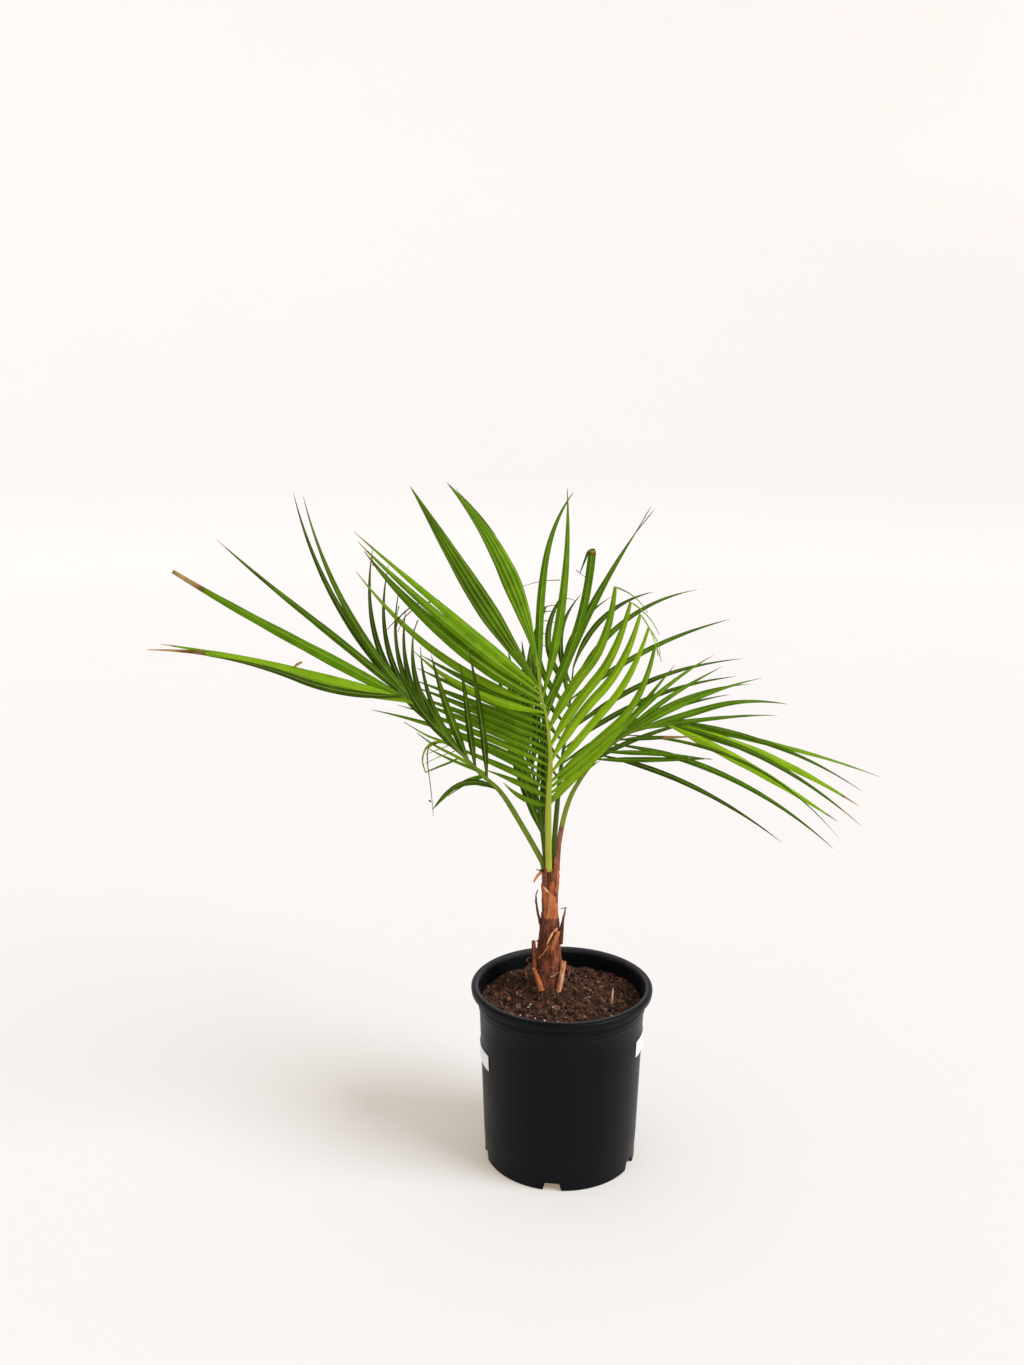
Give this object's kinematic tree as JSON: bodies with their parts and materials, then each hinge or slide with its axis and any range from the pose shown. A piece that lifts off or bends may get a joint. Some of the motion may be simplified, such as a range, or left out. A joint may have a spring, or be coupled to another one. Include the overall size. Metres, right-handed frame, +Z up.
{
  "type": "potted young palm",
  "caption": "Young feather-leaved palm standing in peaty potting mix in a round black nursery pot with a rolled rim and drainage notches.",
  "frame": {"origin": "centre of the pot's base, on the surface that it stands on", "axes": "+Z up, -Y towards the side seen in the picture, +X to the right there"},
  "size_m": [0.6303, 0.2818, 0.6316],
  "materials": {
    "pot": "satin moulded plastic with faint scuffs",
    "soil": "crumbly dark peat mix with bark and perlite",
    "stem": "fibrous reddish-brown leaf bases",
    "label": "matt white sticker, bare",
    "frond_bright": "satin fresh green leaflets with pale ribs",
    "frond_dark": "satin deep green leaflets with pale ribs"
  },
  "bodies": {
    "root": {"pot": "pot", "soil": "soil", "stem": "stem", "label_left": "label", "label_right": "label", "frond_front": "frond_bright", "frond_left": "frond_dark", "frond_right": "frond_bright", "frond_back": "frond_dark", "frond_young": "frond_dark"}
  },
  "joints": []
}
